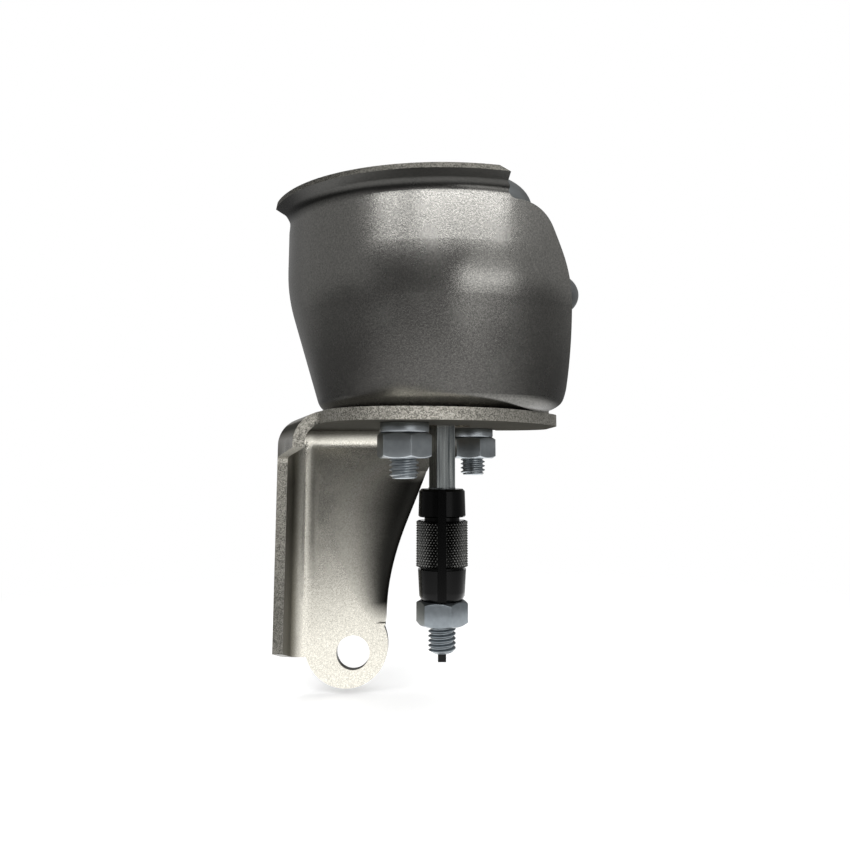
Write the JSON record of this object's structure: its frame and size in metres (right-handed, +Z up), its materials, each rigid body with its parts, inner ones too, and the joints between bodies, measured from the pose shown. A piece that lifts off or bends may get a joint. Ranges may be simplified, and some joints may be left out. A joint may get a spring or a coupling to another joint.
{
  "type": "turbocharger actuator",
  "caption": "Vacuum actuator for a turbocharger: crimped canister in a scooped heat shield, on a stamped bracket, with a squared rod and a knurled length adjuster.",
  "frame": {"origin": "centre of the bracket's fixing hole, on the leg's rear face, where it meets the part it is bolted to", "axes": "+Z up along the rod, from the adjuster to the canister; -Y out of the fixing hole on the side the bolt comes from, which is the front; +X to the right seen from the front, from the fixing hole toward the rod"},
  "size_m": [0.0712, 0.0751, 0.1189],
  "materials": {
    "bracket_steel": "satin, granular sheared edges",
    "shield_steel": "dark satin with fine sparkle",
    "can_steel": "zinc plated, bluish",
    "plated_steel": "zinc plated, dull",
    "bush_bronze": "sintered, matte",
    "seal_rubber": "matte",
    "spring_steel": "oiled",
    "rod_steel": "drawn, bright streaks",
    "black_steel": "black oxide, satin"
  },
  "bodies": {
    "canister": {"bracket": "bracket_steel", "heat_shield": "shield_steel", "lower_can": "can_steel", "upper_can": "can_steel", "vacuum_nipple": "plated_steel", "mounting_studs": "plated_steel", "stud_lock_washers": "plated_steel", "stud_nuts": "plated_steel", "guide_bush": "bush_bronze", "rod_wiper": "seal_rubber", "stop_ring": "seal_rubber", "diaphragm": "seal_rubber", "return_spring": "spring_steel", "spring_seat": "can_steel"},
    "rod": {"actuator_rod": "rod_steel", "clamp_plate": "can_steel", "piston_cup": "can_steel", "rod_rivet": "rod_steel"},
    "adjuster": {"adjuster_sleeve": "black_steel", "locking_strip": "black_steel", "lock_nut": "plated_steel"},
    "end": {"end_stud": "plated_steel", "tip_pin": "black_steel"}
  },
  "joints": [
    {"name": "rod_slide", "type": "slide", "parent": "canister", "child": "rod", "axis": [0, 0, 1], "range_m": [0, 0.011], "stiffness_N_per_m": 3000, "springref_m": -0.008, "deforming": ["return_spring", "diaphragm"]},
    {"name": "adjuster_turn", "type": "hinge", "parent": "rod", "child": "adjuster", "pos_m": [0.0224, -0.0313, 0.0281], "axis": [0, 0, 1], "range_deg": [-720, 720]},
    {"name": "end_screw", "type": "slide", "parent": "rod", "child": "end", "axis": [0, 0, 1], "range_m": [-0.002, 0.002]}
  ],
  "couplings": [
    {"joint": "adjuster_turn", "follows": "end_screw", "rad_per_m": -6283.2}
  ]
}
